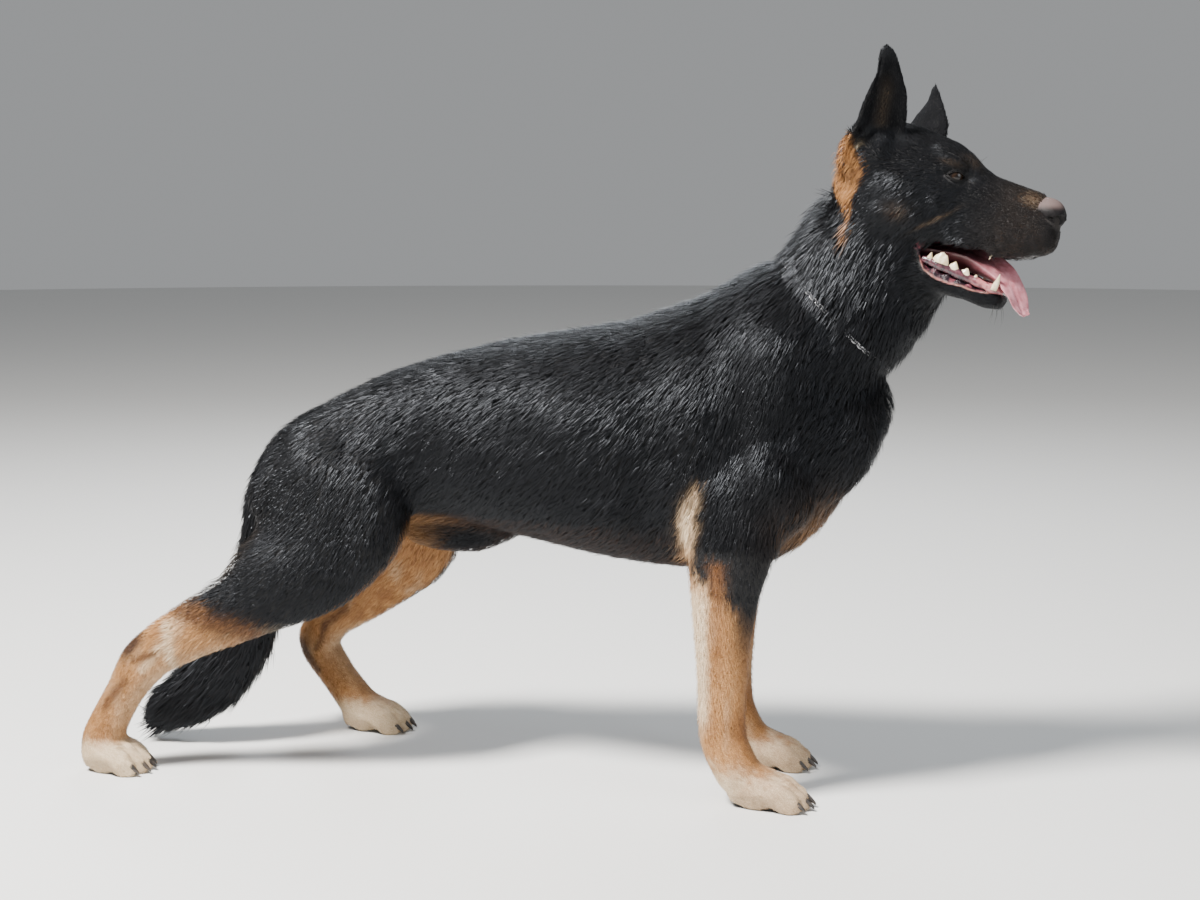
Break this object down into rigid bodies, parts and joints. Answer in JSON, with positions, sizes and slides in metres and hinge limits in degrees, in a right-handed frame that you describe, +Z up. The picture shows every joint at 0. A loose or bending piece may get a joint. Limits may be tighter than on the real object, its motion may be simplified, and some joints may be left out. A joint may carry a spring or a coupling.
{
  "type": "standing dog",
  "caption": "Life-size standing dog of shepherd build with pricked ears, open mouth, hanging brush tail and a chain collar.",
  "frame": {"origin": "centre of the model's bounding box on the floor, under the belly", "axes": "+X forwards, towards the nose; +Y to the dog's own left; +Z up"},
  "size_m": [1.2008, 0.3272, 0.8935],
  "materials": {
    "coat_black": "short glossy hair",
    "coat_tan": "short hair",
    "coat_cream": "short hair",
    "nose_leather": "damp",
    "eye": "polished",
    "tongue": "damp",
    "chain": "satin"
  },
  "bodies": {
    "root": {"collar": "chain", "ear_left": "coat_black", "ear_right": "coat_black", "eye_left": "eye", "eye_right": "eye", "forearm_left": "coat_tan", "forearm_right": "coat_tan", "forepaw_left": "coat_cream", "forepaw_right": "coat_cream", "head": "coat_black", "hindpaw_left": "coat_cream", "hindpaw_right": "coat_cream", "hock_left": "coat_tan", "hock_right": "coat_tan", "lower_jaw": "coat_black", "lower_thigh_left": "coat_tan", "lower_thigh_right": "coat_tan", "neck": "coat_black", "nose": "nose_leather", "tail_base": "coat_black", "tail_brush": "coat_black", "thigh_left": "coat_black", "thigh_right": "coat_black", "tongue": "tongue", "trunk": "coat_black", "upper_arm_left": "coat_black", "upper_arm_right": "coat_black"}
  },
  "joints": []
}
